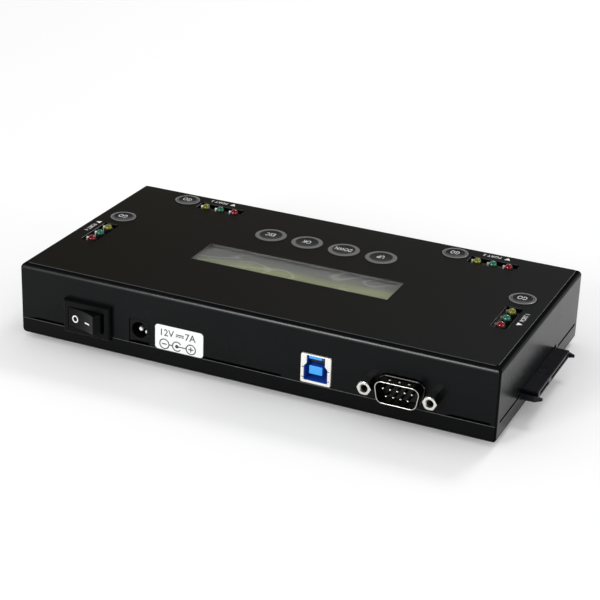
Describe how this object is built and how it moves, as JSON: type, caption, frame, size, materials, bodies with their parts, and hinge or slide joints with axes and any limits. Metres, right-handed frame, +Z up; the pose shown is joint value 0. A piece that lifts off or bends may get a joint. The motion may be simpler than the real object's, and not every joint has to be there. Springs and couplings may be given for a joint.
{
  "type": "drive duplicator",
  "caption": "Flat black desktop box that copies and erases drives: character display and push-buttons on top, drive connectors on three sides, power, USB and serial sockets on the fourth.",
  "frame": {"origin": "on the resting plane, under the middle of the case", "axes": "+Z up; the connector panel with the power switch faces -Y; ports 1 and 4 face +X and -X; ports 2 and 3 face +Y"},
  "size_m": [0.2108, 0.1128, 0.0324],
  "materials": {
    "case_paint": "satin black powder coat",
    "feet_rubber": "matt",
    "plain_steel": "zinc plated",
    "circuit_board": "solder mask",
    "black_plastic": "moulded, fine matt",
    "switch_plastic": "satin moulded",
    "overlay_film": "satin printed film",
    "key_film": "dark face with a grey rim",
    "plunger_plastic": "moulded",
    "window_clear": "clear, smooth",
    "display_cell": "grey to yellow-green",
    "display_light": "diffuser",
    "black_steel": "black frame",
    "lamp_yellow": "tinted lens",
    "lamp_green": "tinted lens",
    "lamp_red": "tinted lens",
    "contact_metal": "plated",
    "connector_steel": "nickel plated",
    "usb_blue": "moulded blue"
  },
  "bodies": {
    "case": {"base_pan": "case_paint", "top_cover": "case_paint", "rubber_feet": "feet_rubber", "cover_posts": "plain_steel", "case_screws": "plain_steel", "main_standoffs": "plain_steel", "control_standoffs": "plain_steel", "board_screws": "plain_steel", "main_board": "circuit_board", "control_board": "circuit_board", "board_link": "black_plastic", "display_window": "window_clear", "display_bezel": "black_steel", "display_glass": "display_cell", "display_backlight": "display_light", "display_board": "circuit_board", "control_overlay": "overlay_film", "tact_switches": "black_plastic", "led_holders": "black_plastic", "leds_yellow": "lamp_yellow", "leds_green": "lamp_green", "leds_red": "lamp_red", "port_housing_1": "black_plastic", "port_housing_2": "black_plastic", "port_housing_3": "black_plastic", "port_housing_4": "black_plastic", "port_contacts": "contact_metal", "switch_housing": "switch_plastic", "switch_terminals": "contact_metal", "power_jack": "black_plastic", "power_jack_pin": "contact_metal", "power_jack_contact": "contact_metal", "usb_shell": "connector_steel", "usb_insert": "usb_blue", "usb_contacts": "contact_metal", "serial_shell": "connector_steel", "serial_insulator": "black_plastic", "serial_pins": "contact_metal", "serial_jackscrews": "connector_steel"},
    "power_rocker": {"switch_rocker": "switch_plastic"},
    "button_esc": {"key_esc": "key_film", "plunger_esc": "plunger_plastic"},
    "button_ok": {"key_ok": "key_film", "plunger_ok": "plunger_plastic"},
    "button_down": {"key_down": "key_film", "plunger_down": "plunger_plastic"},
    "button_up": {"key_up": "key_film", "plunger_up": "plunger_plastic"},
    "button_go_1": {"key_go_1": "key_film", "plunger_go_1": "plunger_plastic"},
    "button_go_2": {"key_go_2": "key_film", "plunger_go_2": "plunger_plastic"},
    "button_go_3": {"key_go_3": "key_film", "plunger_go_3": "plunger_plastic"},
    "button_go_4": {"key_go_4": "key_film", "plunger_go_4": "plunger_plastic"}
  },
  "joints": [
    {"name": "power_switch", "type": "hinge", "parent": "case", "child": "power_rocker", "pos_m": [-0.0671, -0.0492, 0.01445], "axis": [0, 0, 1], "range_deg": [0, 30]},
    {"name": "press_esc", "type": "slide", "parent": "case", "child": "button_esc", "axis": [0, 0, -1], "range_m": [0, 0.00035], "stiffness_N_per_m": 1500, "springref_m": -0.0004},
    {"name": "press_ok", "type": "slide", "parent": "case", "child": "button_ok", "axis": [0, 0, -1], "range_m": [0, 0.00035], "stiffness_N_per_m": 1500, "springref_m": -0.0004},
    {"name": "press_down", "type": "slide", "parent": "case", "child": "button_down", "axis": [0, 0, -1], "range_m": [0, 0.00035], "stiffness_N_per_m": 1500, "springref_m": -0.0004},
    {"name": "press_up", "type": "slide", "parent": "case", "child": "button_up", "axis": [0, 0, -1], "range_m": [0, 0.00035], "stiffness_N_per_m": 1500, "springref_m": -0.0004},
    {"name": "press_go_1", "type": "slide", "parent": "case", "child": "button_go_1", "axis": [0, 0, -1], "range_m": [0, 0.00035], "stiffness_N_per_m": 1500, "springref_m": -0.0004},
    {"name": "press_go_2", "type": "slide", "parent": "case", "child": "button_go_2", "axis": [0, 0, -1], "range_m": [0, 0.00035], "stiffness_N_per_m": 1500, "springref_m": -0.0004},
    {"name": "press_go_3", "type": "slide", "parent": "case", "child": "button_go_3", "axis": [0, 0, -1], "range_m": [0, 0.00035], "stiffness_N_per_m": 1500, "springref_m": -0.0004},
    {"name": "press_go_4", "type": "slide", "parent": "case", "child": "button_go_4", "axis": [0, 0, -1], "range_m": [0, 0.00035], "stiffness_N_per_m": 1500, "springref_m": -0.0004}
  ]
}
